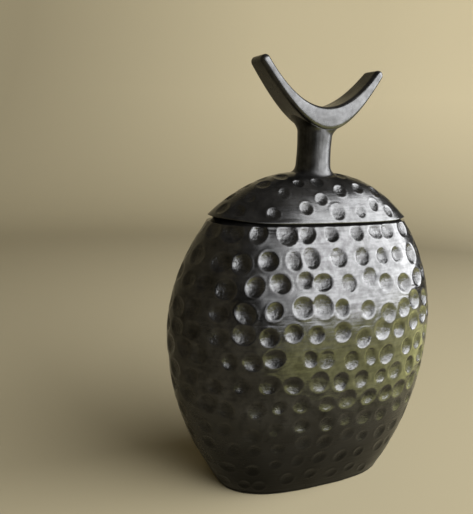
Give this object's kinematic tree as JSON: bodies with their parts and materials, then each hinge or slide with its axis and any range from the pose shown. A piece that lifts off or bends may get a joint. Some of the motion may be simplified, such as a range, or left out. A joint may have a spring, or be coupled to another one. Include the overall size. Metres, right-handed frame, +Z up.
{
  "type": "lidded jar",
  "caption": "Flattened oval clay jar with a wide mouth, a hollow domed lid that drops in on a flange, and a crescent grip on a short stem.",
  "frame": {"origin": "middle of the flat underside of the jar", "axes": "+X along the long side of the oval, +Y through its depth towards the back broad face, +Z up through the handle"},
  "size_m": [0.229, 0.128, 0.3296],
  "materials": {
    "burnished_body": "burnished black clay with a graphite sheen, dimpled all over",
    "burnished_lid": "burnished black clay with a graphite sheen, small dimples",
    "burnished_handle": "burnished black clay, smooth",
    "matte_clay": "unburnished black clay, matte"
  },
  "bodies": {
    "jar": {"jar_wall": "burnished_body", "jar_base": "matte_clay"},
    "lid": {"lid_dome": "burnished_lid", "lid_flange": "matte_clay", "handle_stem": "burnished_handle", "handle_crescent": "burnished_handle"}
  },
  "joints": [
    {"name": "lid_lift", "type": "slide", "parent": "jar", "child": "lid", "axis": [0, 0, 1], "range_m": [0, 0.12]}
  ]
}
